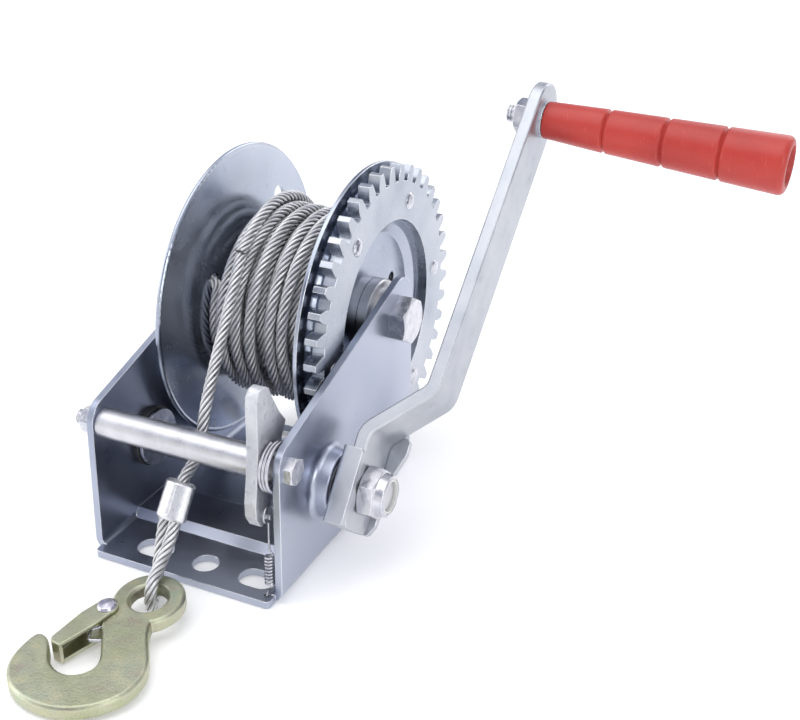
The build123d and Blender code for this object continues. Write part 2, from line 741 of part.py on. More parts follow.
groove_at = (28.2, 53.0, 76.6)
with BuildPart() as hand_grip:
    start, finish = 1.5, grip_length

    def grip_radius(distance):
        return grip_small + (grip_large - grip_small) * (distance / grip_length)

    with BuildSketch(grip_plane) as grip_section:
        with BuildLine():
            outline = [(start, 4.0 + running), (start, grip_radius(start) - 0.3)]
            for groove in groove_at:
                outline += [(groove - 1.1, grip_radius(groove)), (groove, grip_radius(groove) - 1.2),
                            (groove + 1.1, grip_radius(groove) + 0.05)]
            outline += [(finish, grip_large), (finish, 8.6), (finish - 2.4, 7.8),
                        (finish - 8.0, 7.6), (finish - 8.0, 4.0 + running)]
            Polyline(*outline, close=True)
        make_face()
        rim = grip_section.vertices().sort_by_distance((finish, grip_large))[0]
        fillet(rim, 2.6)
        for groove in groove_at:
            shoulders = grip_section.vertices().filter_by(
                lambda v: 0.5 < abs(v.X - groove) < 2 and v.Y > 8)
            fillet(shoulders, 0.7)
    revolve(axis=Axis(grip_plane.origin, grip_plane.x_dir))
save(hand_grip, "hand_grip")

bolt_end = -arm_thickness - 6.5 - 4.2
with BuildPart() as grip_bolt:
    head = grip_length - 7.6
    with BuildSketch(grip_plane):
        with BuildLine():
            Polyline((bolt_end, 0), (bolt_end, 3.4), (bolt_end + 0.6, 4.0), (head, 4.0), (head, 6.6),
                     (head + 3.2, 6.6), (head + 4.4, 5.0), (head + 4.6, 0), close=True)
        make_face()
    revolve(axis=Axis(grip_plane.origin, grip_plane.x_dir))
    thread_rings(grip_plane, 4.0, bolt_end + 0.6, 3.8, 1.25)
save(grip_bolt, "grip_bolt")

with BuildPart() as grip_nut:
    hexagon(Plane(origin=grip_foot - grip_dir * arm_thickness, x_dir=across, z_dir=-grip_dir),
            13.0, 6.5, turn=8, bevel_both=True)
    with BuildSketch(grip_end_plane.offset(-arm_thickness - 8)):
        Circle(4.03)
    extrude(amount=9, mode=Mode.SUBTRACT)
save(grip_nut, "grip_nut")

# ---------------------------------------------------------------- ratchet pawl


def from_tube(dy, dz):
    return (tube_y + dy, tube_z + dz)


with BuildPart() as ratchet_pawl:
    with BuildSketch(side_plane(pawl_from)) as pawl_outline:
        with BuildLine():
            Polyline(
                from_tube(-8.0, 27.5), from_tube(-7.6, 31.2), from_tube(-5.2, 33.8),
                from_tube(-1.9, 34.2), from_tube(0.9, 32.4), from_tube(3.2, 27.6),
                from_tube(8.2, 19.0), from_tube(13.0, 13.0), from_tube(9.6, 7.4), from_tube(8.4, 1.0),
                from_tube(8.0, -6.0), from_tube(10.7, -15.4), from_tube(4.6, -13.4),
                from_tube(-0.4, -16.8), from_tube(-3.0, -22.6), from_tube(-7.6, -23.2),
                from_tube(-10.6, -18.0), from_tube(-10.8, -12.0), from_tube(-9.2, -2.0),
                from_tube(-8.0, 9.0), close=True,
            )
        make_face()
        fillet(pawl_outline.vertices().filter_by(lambda v: v.Y > tube_z + 29), pawl_top_round)
        fillet(pawl_outline.vertices().filter_by(
            lambda v: v.X < tube_y + 10.5 and v.Y < tube_z + 28.6), pawl_edge_round)
        fillet(pawl_outline.vertices().sort_by_distance(from_tube(13.0, 13.0))[0], 1.2)
        with Locations((tube_y, tube_z)):
            Circle(6.0 + running, mode=Mode.SUBTRACT)
    extrude(amount=pawl_to - pawl_from)
    with BuildSketch(side_plane(pawl_to - 0.5)):
        with Locations(from_tube(*spring_pin)):
            Circle(spring_pin_radius)
    extrude(amount=spring_pin_length)
    chamfer(ratchet_pawl.edges().filter_by(lambda e: abs(e.center().X - pawl_from) < 0.01)
            .filter_by(lambda e: (e.center() - Vector(pawl_from, tube_y, tube_z)).length > 6.5), 0.5)
save(ratchet_pawl, "ratchet_pawl")

# thrust spring beside the pawl
side_wire = 1.3
side_pitch = 1.42
side_turns = 2.4
side_radius = 9.6
with BuildPart() as thrust_spring:
    with BuildLine() as coil:
        Helix(pitch=side_pitch, height=side_pitch * side_turns, radius=side_radius,
              center=(pawl_to + 0.9, tube_y, tube_z), direction=(1, 0, 0))
    with BuildSketch(Plane(origin=coil.line @ 0, z_dir=coil.line % 0)):
        Circle(side_wire / 2)
    sweep(path=coil.line, is_frenet=True)
save(thrust_spring, "thrust_spring")

# return spring between the pawl's pin and the base
with BuildPart() as return_spring:
    with BuildLine() as coil:
        Helix(pitch=(coil_high - coil_low) / spring_turns, height=coil_high - coil_low,
              radius=spring_radius, center=(spring_x, spring_y, coil_low))
    with BuildSketch(Plane(origin=coil.line @ 0, z_dir=coil.line % 0)):
        Circle(spring_wire / 2)
    sweep(path=coil.line, is_frenet=True)
save(return_spring, "return_spring")

ring_z = tube_z + spring_pin[1] + spring_loop_rise
with BuildPart() as spring_ends:
    with BuildLine() as hook_wire:
        Polyline((spring_x + spring_radius, spring_y, coil_high + 0.5),
                 (spring_x, spring_y, coil_high + 2.6), (spring_x, spring_y, ring_z - spring_loop))
    with BuildSketch(Plane(origin=hook_wire.line @ 0, z_dir=hook_wire.line % 0)):
        Circle(spring_wire / 2)
    sweep(path=hook_wire.line, transition=Transition.ROUND)
    with BuildSketch(Plane(origin=(spring_x, spring_y, ring_z), x_dir=(0, 1, 0), z_dir=(0, 0, 1))):
        with Locations((spring_loop, 0)):
            Circle(spring_wire / 2)
    revolve(axis=Axis((spring_x, spring_y, ring_z), (1, 0, 0)))
    with BuildLine() as foot_wire:
        Polyline((spring_x + spring_radius, spring_y, coil_low - 0.5),
                 (spring_x, spring_y, coil_low - 1.8), (spring_x, spring_foot_y, 3.4),
                 (spring_x, spring_foot_y, 0.6))
    with BuildSketch(Plane(origin=foot_wire.line @ 0, z_dir=foot_wire.line % 0)):
        Circle(spring_wire / 2)
    sweep(path=foot_wire.line, transition=Transition.ROUND)
save(spring_ends, "spring_ends")

# ---------------------------------------------------------------- free rope
tail_angle = 136.8
leave = winding_radius + rope_gap + rope / 2
tail_points = [
    drum_point(-14.0, leave, tail_angle),
    (-10.4, -2.6, 97.7),
    (-6.3, -21.4, 79.6),
    (-2.6, -36.4, 66.2),
    (-1.2, -42.3, 56.6),
    (-1.6, -44.6, 47.4),
    (-2.4, -50.4, 42.9),
    ferrule_top,
]
with BuildPart() as rope_tail:
    tube_along("rope_tail", tail_points, route_arcs("rope_tail", tail_points))
print("rope_tail volume", round(rope_tail.part.volume, 1))
save(rope_tail, "rope_tail")

ferrule_axis = (Vector(*ferrule_foot) - Vector(*ferrule_top)).normalized()
ferrule_across = (Vector(1, 0, 0) - ferrule_axis * ferrule_axis.X).normalized()
ferrule_length = (Vector(*ferrule_foot) - Vector(*ferrule_top)).length
with BuildPart() as ferrule:
    with BuildSketch(Plane(origin=ferrule_top, x_dir=ferrule_across, z_dir=ferrule_axis)):
        Ellipse(ferrule_width / 2, ferrule_depth / 2)
    extrude(amount=ferrule_length)
    chamfer(ferrule.edges().filter_by(lambda e: e.length > 20), 1.0)
    # the pressed seams on both faces
    for face_side in (-1, 1):
        seam_plane = Plane(origin=Vector(*ferrule_top) + ferrule_axis * ferrule_length / 2,
                           x_dir=ferrule_axis, z_dir=ferrule_across)
        with BuildSketch(seam_plane.offset(-0.5)):
            with Locations((0, face_side * (ferrule_depth / 2 + 0.3))):
                Rectangle(ferrule_length - 4.0, 1.4)
        extrude(amount=1.0, mode=Mode.SUBTRACT)
save(ferrule, "ferrule")

foot = Vector(*ferrule_foot)
loop_start = foot + ferrule_across * strand_offset
loop_finish = foot - ferrule_across * strand_offset
loop_points = [
    (loop_start.X, loop_start.Y, loop_start.Z),
    (-0.2, -71.4, 19.6),
    (1.2, -80.4, 15.6),
    (2.6, -87.4, 12.8),
    (2.8, -88.4, 3.2),
    (-0.4, -82.2, 2.7),
    (-3.4, -75.2, 2.7),
    (-5.6, -70.2, 11.6),
    (loop_finish.X, loop_finish.Y, loop_finish.Z),
]
with BuildPart() as rope_loop:
    tube_along("rope_loop", loop_points, route_arcs("rope_loop", loop_points))
print("rope_loop volume", round(rope_loop.part.volume, 1))
save(rope_loop, "rope_loop")

# ---------------------------------------------------------------- slip hook
tilt = radians(hook_tilt)
hook_plane = Plane(origin=eye_centre, x_dir=(1, 0, 0), z_dir=(0, -sin(tilt), cos(tilt)))
with BuildPart() as slip_hook:
    with BuildSketch(hook_plane.offset(-hook_sheet / 2)):
        with BuildLine():
            # from the eye down the shank, round the bowl, over the tip and back through the throat
            Spline((8.4, -5.8), (9.9, -14.1), (16.1, -23.1), (21.2, -32.5), (20.8, -43.0),
                   (13.5, -53.0), (2.6, -58.6), (-8.3, -59.3), (-19.4, -55.6), (-26.4, -47.4),
                   (-28.0, -38.0), (-25.8, -30.9), (-21.4, -32.2), (-14.6, -39.9), (-6.3, -43.8),
                   (-0.7, -42.2), (2.9, -36.4), (0.4, -30.0), (-4.0, -24.0), (-9.4, -12.6))
            Polyline((-9.4, -12.6), (0.0, 0.0), (8.4, -5.8))
        make_face()
        Circle(eye_outer)
        with Locations(latch_rivet_at):
            Circle(4.6)
        Circle(eye_inner, mode=Mode.SUBTRACT)
        with Locations(latch_rivet_at):
            Circle(1.95, mode=Mode.SUBTRACT)
    extrude(amount=hook_sheet)
    face_edges = slip_hook.edges().filter_by(
        lambda e: abs(abs(hook_plane.to_local_coords(e.center()).Z) - hook_sheet / 2) < 0.05)
    chamfer(face_edges.filter_by(lambda e: e.length > 40), 1.0)
save(slip_hook, "slip_hook")

# sprung latch: a folded channel that straddles the shank
latch_end = (-17.4, -34.4)
reach = hypot(latch_end[0] - latch_rivet_at[0], latch_end[1] - latch_rivet_at[1])
rivet_origin = hook_plane.from_local_coords(Vector(latch_rivet_at[0], latch_rivet_at[1], 0))
latch_line = hook_plane.from_local_coords(Vector(latch_end[0], latch_end[1], 0)) - rivet_origin
latch_plane = Plane(origin=rivet_origin, x_dir=latch_line, z_dir=hook_plane.z_dir)
latch_inside = hook_sheet / 2 + 0.25
with BuildPart() as hook_latch:
    with BuildSketch(latch_plane.offset(-latch_inside - latch_sheet)):
        with BuildLine():
            Polyline((0, -4.0), (8.0, -4.4), (reach - 1.5, -2.2), (reach, -0.6), (reach - 0.6, 3.4),
                     (9.0, 4.6), (0, 4.0), close=True)
        make_face()
        Circle(4.2)
    extrude(amount=2 * (latch_inside + latch_sheet))
    # the channel is open towards the throat and round the rivet
    with BuildSketch(latch_plane.offset(-latch_inside)):
        with BuildLine():
            Polyline((-7, -8), (7.6, -8), (7.6, latch_sheet - 4.4), (reach - 2.0, latch_sheet - 2.3),
                     (reach - 1.6, latch_sheet - 1.8), (reach - 1.8, 8), (-7, 8), close=True)
        make_face()
    extrude(amount=2 * latch_inside, mode=Mode.SUBTRACT)
    with BuildSketch(latch_plane.offset(-latch_inside - latch_sheet - 1)):
        Circle(2.0)
    extrude(amount=2 * (latch_inside + latch_sheet + 1), mode=Mode.SUBTRACT)
save(hook_latch, "hook_latch")

with BuildPart() as latch_rivet:
    rivet_line = Plane(origin=rivet_origin, x_dir=hook_plane.z_dir, z_dir=hook_plane.x_dir)
    head_from = latch_inside + latch_sheet + 0.1
    with BuildSketch(rivet_line):
        with BuildLine():
            Polyline((-head_from - 1.0, 0), (-head_from - 0.6, 2.6), (-head_from, 3.5),
                     (-head_from, 1.92), (head_from, 1.92), (head_from, 3.7), (head_from + 0.9, 2.9),
                     (head_from + 1.3, 0), close=True)
        make_face()
    revolve(axis=Axis(rivet_line.origin, rivet_line.x_dir))
save(latch_rivet, "latch_rivet")

with BuildPart() as latch_spring:
    with BuildLine() as spring_wire_path:
        FilletPolyline(
            hook_plane.from_local_coords(Vector(-7.6, -17.4, 0.9)),
            hook_plane.from_local_coords(Vector(-11.0, -21.0, 0.9)),
            hook_plane.from_local_coords(Vector(-9.0, -25.6, 0.4)),
            hook_plane.from_local_coords(Vector(-4.4, -23.2, 0.0)),
            radius=1.4)
    with BuildSketch(Plane(origin=spring_wire_path.wire() @ 0, z_dir=spring_wire_path.wire() % 0)):
        Circle(0.6)
    sweep(path=spring_wire_path.wire())
save(latch_spring, "latch_spring")
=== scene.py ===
from math import cos, pi, radians, sin, sqrt, tau

import bpy
import numpy
from mathutils import Matrix, Vector


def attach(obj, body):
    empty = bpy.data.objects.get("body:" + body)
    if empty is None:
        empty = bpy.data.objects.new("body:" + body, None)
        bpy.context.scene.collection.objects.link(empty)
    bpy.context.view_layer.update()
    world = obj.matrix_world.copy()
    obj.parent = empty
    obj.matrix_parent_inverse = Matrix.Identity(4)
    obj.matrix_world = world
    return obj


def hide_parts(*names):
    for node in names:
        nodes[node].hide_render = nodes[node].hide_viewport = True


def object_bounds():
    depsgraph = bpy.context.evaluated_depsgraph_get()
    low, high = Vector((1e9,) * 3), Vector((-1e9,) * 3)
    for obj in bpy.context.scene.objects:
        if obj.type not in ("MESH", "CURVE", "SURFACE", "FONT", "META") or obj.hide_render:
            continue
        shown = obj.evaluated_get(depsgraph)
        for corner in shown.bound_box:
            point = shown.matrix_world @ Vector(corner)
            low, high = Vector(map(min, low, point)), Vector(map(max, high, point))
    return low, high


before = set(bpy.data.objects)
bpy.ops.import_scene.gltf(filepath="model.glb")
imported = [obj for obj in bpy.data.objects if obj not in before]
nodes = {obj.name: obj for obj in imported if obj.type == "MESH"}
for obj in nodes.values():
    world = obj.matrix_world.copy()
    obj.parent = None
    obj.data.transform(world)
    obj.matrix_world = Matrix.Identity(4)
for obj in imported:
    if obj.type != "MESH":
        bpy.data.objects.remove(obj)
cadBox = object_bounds()
print("winch frame loaded,", len(nodes), "metal and plastic parts")


# camera, at bench height on the crank side

viewpoint = {
    "place": (0.248485, -0.406866, 0.301888),
    "around": 24.23,
    "down": 20.95,
    "roll": 0.77,
    "lens": 55.91,
    "shift": (-0.0014, -0.140),
}


def setCamera(look):
    around, down, roll = (radians(look[k]) for k in ("around", "down", "roll"))
    back = Vector((sin(around) * cos(down), -cos(around) * cos(down), sin(down)))
    right = Vector((cos(around), sin(around), 0))
    up = back.cross(right)
    across = right * cos(roll) + up * sin(roll)
    upright = up * cos(roll) - right * sin(roll)
    lens = bpy.data.cameras.new("benchCamera")
    lens.lens = look["lens"]
    lens.sensor_width = 36
    lens.shift_x, lens.shift_y = look["shift"]
    lens.clip_start = 0.01
    holder = bpy.data.objects.new("benchCamera", lens)
    bpy.context.collection.objects.link(holder)
    turn = Matrix((across, upright, back)).transposed().to_4x4()
    holder.matrix_world = Matrix.Translation(look["place"]) @ turn
    bpy.context.scene.camera = holder


setCamera(viewpoint)
print("camera set")


# wire rope: one smooth line, then six strands laid round it

drumAxle = {"y": 0.0455, "z": 0.079}

wireRope = {
    "diameter": 0.005,
    "strands": 6,
    "lay": 0.021,  # length of one full twist
    "fineStep": 0.0013,  # between rings where the rope shows
    "coarseStep": 0.0035,  # and in the layers underneath
    "fineStart": 0.07,  # the clamped end shows too
    "outline": (-30, -20, -10, 0, 10, 20),  # degrees across one strand
}


def drumPoint(x, radius, angle):
    turn = radians(angle)
    return (x, drumAxle["y"] + radius * cos(turn), drumAxle["z"] + radius * sin(turn))


def ropeLine(name, points, perSpan):
    curve = bpy.data.curves.new(name + "Line", "CURVE")
    curve.dimensions = "3D"
    curve.resolution_u = perSpan
    spline = curve.splines.new("NURBS")
    spline.points.add(len(points) - 1)
    for knot, spot in zip(spline.points, points):
        knot.co = (*spot, 1)
    spline.order_u = 3
    spline.use_endpoint_u = True
    holder = bpy.data.objects.new(name + "Line", curve)
    bpy.context.collection.objects.link(holder)
    bpy.context.view_layer.update()
    line = bpy.data.meshes.new_from_object(holder)
    spots = numpy.array([tuple(v.co) for v in line.vertices])
    bpy.data.objects.remove(holder)
    bpy.data.meshes.remove(line)
    return spots


def spaced(line, look, fineFrom):
    # even steps along the line, coarse up to fineFrom and fine after it
    gaps = numpy.linalg.norm(numpy.diff(line, axis=0), axis=1)
    reach = numpy.concatenate(([0.0], numpy.cumsum(gaps)))
    total = float(reach[-1])
    marks = []
    here = 0.0
    while here < total:
        marks.append(here)
        shown = here < look["fineStart"] or here > fineFrom
        here += look["fineStep"] if shown else look["coarseStep"]
    marks.append(total)
    marks = numpy.array(marks)
    spots = numpy.column_stack([numpy.interp(marks, reach, line[:, k]) for k in range(3)])
    return marks, spots


def strandOutline(look):
    # distance from the rope's middle to its surface, for each corner of a ring
    core = look["diameter"] / 2
    strand = core / 3
    ring = []
    for turn in range(look["strands"]):
        crown = turn * 360 / look["strands"]
        for tilt in look["outline"]:
            a = radians(tilt)
            under = max(strand ** 2 - (2 * strand * sin(a)) ** 2, 0)
            ring.append((radians(crown + tilt), 2 * strand * cos(a) + sqrt(under)))
    return ring


def layRope(name, points, look, perSpan, fineFrom=0.0, carriedOn=None):
    line = ropeLine(name, points, perSpan)
    marks, spots = spaced(line, look, fineFrom)
    ring = strandOutline(look)
    ahead = numpy.gradient(spots, axis=0)
    ahead /= numpy.linalg.norm(ahead, axis=1)[:, None]
    side, started = carriedOn or (Vector(ahead[0]).orthogonal().normalized(), 0.0)
    corners, faces, around = [], [], len(ring)
    for mark, spot, way in zip(marks, spots, ahead):
        way = Vector(way)
        side = (side - way * side.dot(way)).normalized()  # carried along without twist
        other = way.cross(side)
        twist = started + tau * mark / look["lay"]
        middle = Vector(spot)
        for angle, far in ring:
            a = angle + twist
            corners.append(middle + side * (far * cos(a)) + other * (far * sin(a)))
    for k in range(len(spots) - 1):
        for j in range(around):
            n = (j + 1) % around
            near, far = k * around, (k + 1) * around
            faces.append((near + j, near + n, far + n, far + j))
    faces.append(tuple(reversed(range(around))))
    faces.append(tuple((len(spots) - 1) * around + j for j in range(around)))
    mesh = bpy.data.meshes.new(name)
    mesh.from_pydata([tuple(c) for c in corners], [], faces)
    unwrapped = mesh.uv_layers.new(name="strands")
    spread = numpy.zeros((len(mesh.loops), 2))
    quads = (len(spots) - 1) * around
    perStrand = len(look["outline"])
    for f in range(quads):  # across counts strands, along is in centimetres
        k, j = divmod(f, around)
        first = f * 4
        left, right = j / perStrand, (j + 1) / perStrand
        low, high = marks[k] * 100, marks[k + 1] * 100
        spread[first:first + 4] = ((left, low), (right, low), (right, high), (left, high))
    unwrapped.data.foreach_set("uv", spread.ravel())
    mesh.polygons.foreach_set("use_smooth", [True] * quads + [False, False])
    piece = bpy.data.objects.new(name, mesh)
    bpy.context.collection.objects.link(piece)
    print(name, "laid,", round(float(marks[-1]), 3), "m of rope,", len(mesh.polygons), "faces")
    return piece, [tuple(s) for s in spots], float(marks[-1]), (side, twist)


drumRope = {
    "entry": (  # x, radius, angle: clamp, flange window, then down beside the flange
        (-35.8, 34.9, 153.3), (-27.0, 34.9, 153.3), (-26.9, 36.5, 166), (-26.9, 37.2, 184),
        (-26.9, 37.4, 202), (-26.9, 37.4, 220), (-26.9, 37.4, 238),
        (-26.6, 35.0, 262), (-26.2, 31.5, 286), (-25.8, 28.0, 310), (-25.3, 25.0, 334),
        (-24.4, 22.4, 358), (-23.0, 20.8, 382),
    ),
    "coilStart": 404.5,  # angle where the first layer begins
    "drift": 0.25,  # how far a hidden turn wanders along the drum
    "settle": 4,  # steps before it starts to
    "sway": 1.1,  # how far a top turn wanders
    "swayTurns": 5.3,
    "stepsPerTurn": 16,
    "leftX": -21.8,
    "rightX": 25.1,
    "turnsPerLayer": 9.0,
    "layers": (19.6, 23.8, 28.0, 32.2, 36.4),  # radius of the rope's middle in each layer
    "riseTurns": 0.5,
    "looseTurns": 6.756,  # the top layer, laid unevenly
    "looseRadius": 41.2,
    "looseLeftX": -21.6,
    "liftX": -14.0,
    "liftRadius": 46.3,  # it climbs over its neighbours to where it leaves the drum
    "liftPart": 0.88,
    "sag": 1.8,  # how far the loose turns hang off underneath
    "fineFrom": 6.0,  # metres of rope that the top turns hide
}


def drumRopePoints(look):
    path = list(look["entry"])
    step = 360 / look["stepsPerTurn"]
    swell = 1 / cos(radians(step / 2))  # the line runs a little inside its points
    angle = look["coilStart"]
    x, goal = look["leftX"], look["rightX"]
    for number, radius in enumerate(look["layers"]):
        steps = round(look["turnsPerLayer"] * look["stepsPerTurn"])
        for k in range(steps):
            drift = look["drift"] * sin(0.9 * k + number) * (k > look["settle"])
            path.append((x + (goal - x) * k / steps + drift, radius * swell, angle))
            angle += step
        outer = look["looseRadius"]
        if number + 1 < len(look["layers"]):
            outer = look["layers"][number + 1]
        rise = round(look["riseTurns"] * look["stepsPerTurn"])
        for k in range(rise):
            path.append((goal, (radius + (outer - radius) * k / rise) * swell, angle))
            angle += step
        x, goal = goal, x
    steps = round(look["looseTurns"] * look["stepsPerTurn"])
    exact = look["looseTurns"] * 360 / steps
    for k in range(steps + 1):
        part = k / steps
        fade = min(1, 6 * (1 - part), 6 * part)
        hang = look["sag"] * (1 - sin(radians(angle))) / 2 * fade
        sway = look["sway"] * sin(look["swayTurns"] * part * pi + 0.6) * fade
        laid = min(part / look["liftPart"], 1)
        lift = max(part - look["liftPart"], 0) / (1 - look["liftPart"])
        lift = lift * lift * (3 - 2 * lift)
        left = look["looseLeftX"]
        run = x + (left - x) * laid + (look["liftX"] - left) * lift + sway
        out = look["looseRadius"] + (look["liftRadius"] - look["looseRadius"]) * lift + hang
        path.append((run, out * swell, angle))
        angle += exact
    return [drumPoint(a / 1000, b / 1000, c) for a, b, c in path]


windingRope, windingPath, windingLength, woundEnd = layRope(
    "wound_rope", drumRopePoints(drumRope), wireRope, 12, drumRope["fineFrom"]
)
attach(windingRope, "drum")
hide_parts("rope_winding", "rope_end")

hookRope = {
    "start": (-14.0, 46.3, 136.8),  # x, radius and angle where it lifts off the drum
    "down": (
        (-10.4, -2.6, 97.7), (-6.3, -21.4, 79.6), (-2.6, -36.4, 66.2), (-1.2, -42.3, 56.6),
        (-1.6, -44.6, 47.4), (-2.4, -50.4, 42.9), (-2.6, -56.0, 40.5),
    ),
    "ferruleTop": (-2.6, -56.0, 40.5),
    "ferruleFoot": (-3.5, -64.0, 27.2),
    "apart": 2.7,  # half the gap between the two strands in the ferrule
    "buried": 9,  # how far the short end runs back up inside it
    "loop": (
        (-0.2, -71.4, 19.6), (1.2, -80.4, 15.6), (2.6, -87.4, 12.8), (2.8, -88.4, 3.2),
        (-0.4, -82.2, 2.7), (-3.4, -75.2, 2.7), (-5.6, -70.2, 11.6),
    ),
}


def hookRopePoints(look):
    top, foot = Vector(look["ferruleTop"]), Vector(look["ferruleFoot"])
    along = (foot - top).normalized()
    across = Vector((1, 0, 0))
    across = (across - along * across.dot(along)).normalized() * look["apart"]
    x, radius, angle = look["start"]
    first = drumPoint(x / 1000, radius / 1000, angle)
    path = [Vector(first) * 1000]
    path += [Vector(spot) for spot in look["down"]]
    path += [foot + across]
    path += [Vector(spot) for spot in look["loop"]]
    path += [foot - across, foot - across - along * look["buried"]]
    return [tuple(spot / 1000) for spot in path]


# its strands carry on from where the wound rope ends
tailRope, tailPath, tailLength, _ = layRope(
    "hook_rope", hookRopePoints(hookRope), wireRope, 24, carriedOn=woundEnd
)
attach(tailRope, "frame")
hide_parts("rope_tail", "rope_loop")
print("ropes in place")


# small building blocks for the finishes


def addNode(tree, kind, **settings):
    node = tree.nodes.new(kind)
    for key, value in settings.items():
        if key in node.inputs:
            node.inputs[key].default_value = value
        else:
            setattr(node, key, value)
    return node


def startFinish(name, metal, rough):
    finish = bpy.data.materials.new(name)
    finish.use_nodes = True
    tree = finish.node_tree
    shader = tree.nodes["Principled BSDF"]
    shader.inputs["Metallic"].default_value = metal
    shader.inputs["Roughness"].default_value = rough
    return finish, tree, shader


def blotches(tree, size, detail=4.0, stretch=(1, 1, 1)):
    # soft noise, about size metres from one blotch to the next
    place = addNode(tree, "ShaderNodeTexCoord")
    reach = addNode(tree, "ShaderNodeMapping", Scale=stretch)
    noise = addNode(tree, "ShaderNodeTexNoise", Scale=1 / size, Detail=detail)
    tree.links.new(place.outputs["Object"], reach.inputs["Vector"])
    tree.links.new(reach.outputs["Vector"], noise.inputs["Vector"])
    return noise.outputs["Fac"]


def ranged(tree, source, low, high, start=0.3, stop=0.7):
    node = addNode(tree, "ShaderNodeMapRange")
    for key, value in (("From Min", start), ("From Max", stop), ("To Min", low), ("To Max", high)):
        node.inputs[key].default_value = value
    tree.links.new(source, node.inputs["Value"])
    return node.outputs["Result"]


def worked(tree, operation, first, second):
    node = addNode(tree, "ShaderNodeMath", operation=operation)
    for socket, value in zip(node.inputs, (first, second)):
        if isinstance(value, (int, float)):
            socket.default_value = value
        else:
            tree.links.new(value, socket)
    return node.outputs[0]


def toned(tree, source, tones, start=0.3, stop=0.7):
    ramp = addNode(tree, "ShaderNodeValToRGB")
    marks = ramp.color_ramp.elements
    while len(marks) < len(tones):
        marks.new(0.5)
    for k, tone in enumerate(tones):
        marks[k].position = start + (stop - start) * k / (len(tones) - 1)
        marks[k].color = (*tone, 1)
    tree.links.new(source, ramp.inputs["Fac"])
    return ramp.outputs["Color"]


def mixed(tree, amount, first, second):
    node = addNode(tree, "ShaderNodeMix", data_type="RGBA")
    colours = [s for s in node.inputs if s.type == "RGBA"]
    for socket, value in zip(colours, (first, second)):
        if isinstance(value, tuple):
            socket.default_value = (*value, 1)
        else:
            tree.links.new(value, socket)
    tree.links.new(amount, node.inputs["Factor"])
    return [s for s in node.outputs if s.type == "RGBA"][0]


def edgeShine(tree, radius):
    # rounded normal for crisp edges, and how near a spot is to one, which the finishes use as a mask to
    # paint highlights along edges
    soft = addNode(tree, "ShaderNodeBevel", samples=4, Radius=radius)
    flat = addNode(tree, "ShaderNodeNewGeometry")
    same = addNode(tree, "ShaderNodeVectorMath", operation="DOT_PRODUCT")
    tree.links.new(soft.outputs["Normal"], same.inputs[0])
    tree.links.new(flat.outputs["Normal"], same.inputs[1])
    return soft.outputs["Normal"], ranged(tree, same.outputs["Value"], 1, 0, 0.80, 0.99)


def raised(tree, shader, normal, heights):
    # each height is (source, depth in metres, strength)
    for source, depth, strength in heights:
        bump = addNode(tree, "ShaderNodeBump", Strength=strength, Distance=depth)
        tree.links.new(source, bump.inputs["Height"])
        if normal is not None:
            tree.links.new(normal, bump.inputs["Normal"])
        normal = bump.outputs["Normal"]
    tree.links.new(normal, shader.inputs["Normal"])


def axleDistance(tree, y, z):
    place = addNode(tree, "ShaderNodeTexCoord")
    shifted = addNode(tree, "ShaderNodeVectorMath", operation="SUBTRACT")
    shifted.inputs[1].default_value = (0, y, z)
    flattened = addNode(tree, "ShaderNodeVectorMath", operation="MULTIPLY")
    flattened.inputs[1].default_value = (0, 1, 1)
    length = addNode(tree, "ShaderNodeVectorMath", operation="LENGTH")
    tree.links.new(place.outputs["Object"], shifted.inputs[0])
    tree.links.new(shifted.outputs[0], flattened.inputs[0])
    tree.links.new(flattened.outputs[0], length.inputs[0])
    return length.outputs["Value"]


def fineRings(tree, distance, size):
    noise = addNode(tree, "ShaderNodeTexNoise", noise_dimensions="1D", Scale=1 / size, Detail=3.0)
    tree.links.new(distance, noise.inputs["W"])
    return noise.outputs["Fac"]


def paint(finish, *names):
    for name in names:
        part = nodes[name]
        if not part.material_slots:
            part.data.materials.append(finish)
        for holder in part.material_slots:
            holder.material = finish


# bright zinc on pressed steel sheet

def platedSheet(name, look):
    finish, tree, shader = startFinish(name, 1.0, look["roughness"][0])
    broad = blotches(tree, look["driftSize"], 2.0)
    cloud = blotches(tree, 0.012, 5.0)
    specks = blotches(tree, 0.0009, 3.0)
    scuffs = blotches(tree, 0.006, 6.0, look["scuffStretch"])
    scuffed = ranged(tree, scuffs, 0, 1, 0.60, 0.72)
    base = toned(tree, broad, look["tones"], 0.32, 0.68)
    clouded = mixed(tree, ranged(tree, cloud, 0, look["cloudy"]), base, look["cloudTone"])
    soft, edge = edgeShine(tree, look["edgeRadius"])
    # painted highlight: a near-white colour laid along every edge of the sheet
    edged = ranged(tree, edge, 0, look["edgeHighlightAmount"], 0, 1)
    bright = mixed(tree, edged, clouded, (0.93, 0.94, 0.96))
    tree.links.new(bright, shader.inputs["Base Color"])
    low, high = look["roughness"]
    even = ranged(tree, cloud, low, high)
    rough = worked(tree, "ADD", even, worked(tree, "MULTIPLY", scuffed, look["scuffRough"]))
    rough = worked(tree, "SUBTRACT", rough, worked(tree, "MULTIPLY", edge, low * 0.35))
    tree.links.new(rough, shader.inputs["Roughness"])
    heights = [
        (broad, 0.004, look["waviness"]),
        (cloud, 0.0004, 0.02),
        (specks, 0.00006, look["grain"]),
        (scuffs, 0.00004, 0.03),
    ]
    if look.get("rings"):
        distance = axleDistance(tree, *look["rings"])
        heights.append((fineRings(tree, distance, 0.0011), 0.00005, 0.22))
        heights.append((fineRings(tree, distance, 0.012), 0.0008, 0.10))
    raised(tree, shader, soft, heights)
    return finish


